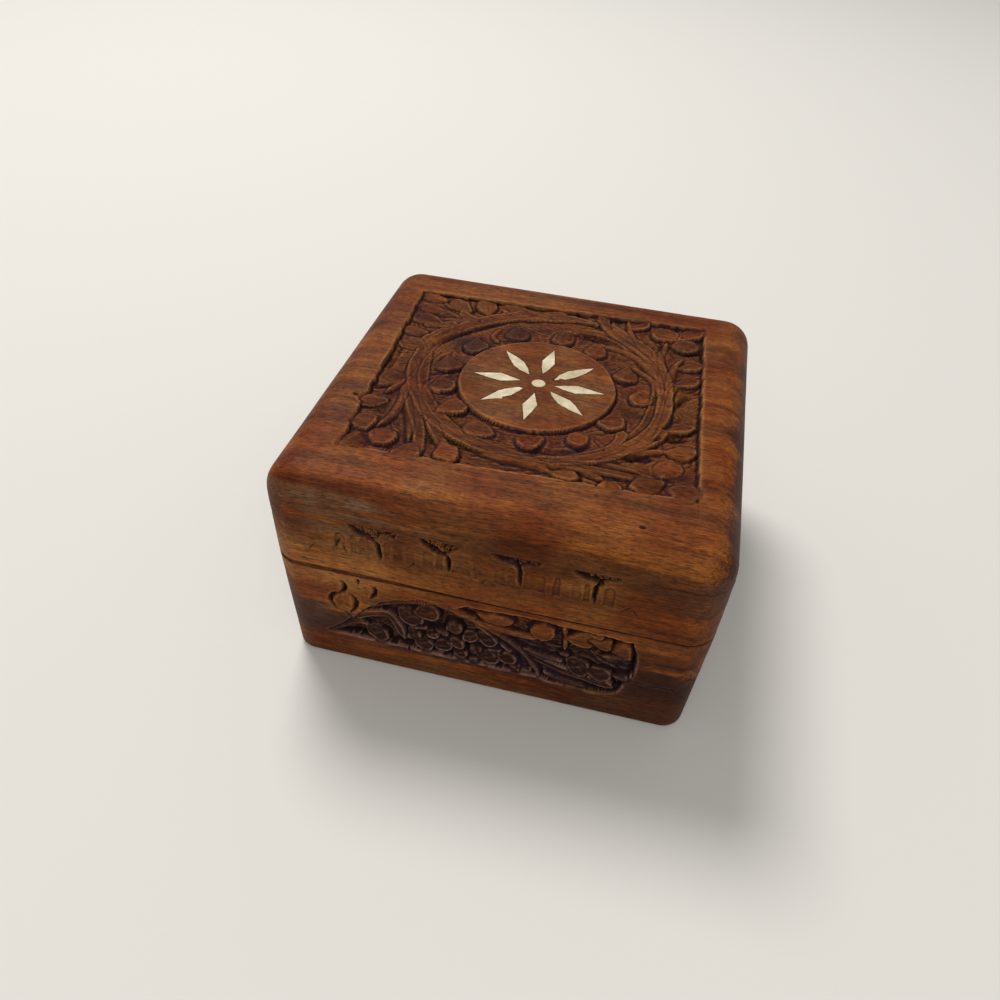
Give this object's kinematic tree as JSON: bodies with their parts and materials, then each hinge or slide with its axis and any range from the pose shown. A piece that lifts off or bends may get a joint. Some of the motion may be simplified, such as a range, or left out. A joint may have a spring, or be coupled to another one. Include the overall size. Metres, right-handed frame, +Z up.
{
  "type": "trinket box",
  "caption": "Small square wooden trinket box with a deep hinged lid, rounded edges, a carved sunken top and an inlaid star in a raised medallion.",
  "frame": {"origin": "middle of the underside", "axes": "+X to the right, +Y to the back where the hinges are, +Z up; the front faces -Y"},
  "size_m": [0.102, 0.102, 0.0585],
  "materials": {
    "sheesham_wood": "satin",
    "bone_inlay": "satin",
    "hinge_brass": "satin",
    "hinge_steel": "satin"
  },
  "bodies": {
    "base": {"base_board": "sheesham_wood", "base_front_wall": "sheesham_wood", "base_back_wall": "sheesham_wood", "base_left_wall": "sheesham_wood", "base_right_wall": "sheesham_wood", "left_hinge_base_leaf": "hinge_brass", "left_hinge_pin": "hinge_steel", "left_hinge_base_screws": "hinge_brass", "right_hinge_base_leaf": "hinge_brass", "right_hinge_pin": "hinge_steel", "right_hinge_base_screws": "hinge_brass"},
    "lid": {"lid_top_board": "sheesham_wood", "lid_front_rail": "sheesham_wood", "lid_back_rail": "sheesham_wood", "lid_left_rail": "sheesham_wood", "lid_right_rail": "sheesham_wood", "inlay_petal_1": "bone_inlay", "inlay_petal_2": "bone_inlay", "inlay_petal_3": "bone_inlay", "inlay_petal_4": "bone_inlay", "inlay_petal_5": "bone_inlay", "inlay_petal_6": "bone_inlay", "inlay_petal_7": "bone_inlay", "inlay_petal_8": "bone_inlay", "inlay_dot": "bone_inlay", "left_hinge_lid_leaf": "hinge_brass", "left_hinge_lid_screws": "hinge_brass", "right_hinge_lid_leaf": "hinge_brass", "right_hinge_lid_screws": "hinge_brass"}
  },
  "joints": [
    {"name": "lid_hinge", "type": "hinge", "parent": "base", "child": "lid", "pos_m": [0, 0.0488, 0.0331], "axis": [-1, 0, 0], "range_deg": [0, 104]}
  ]
}
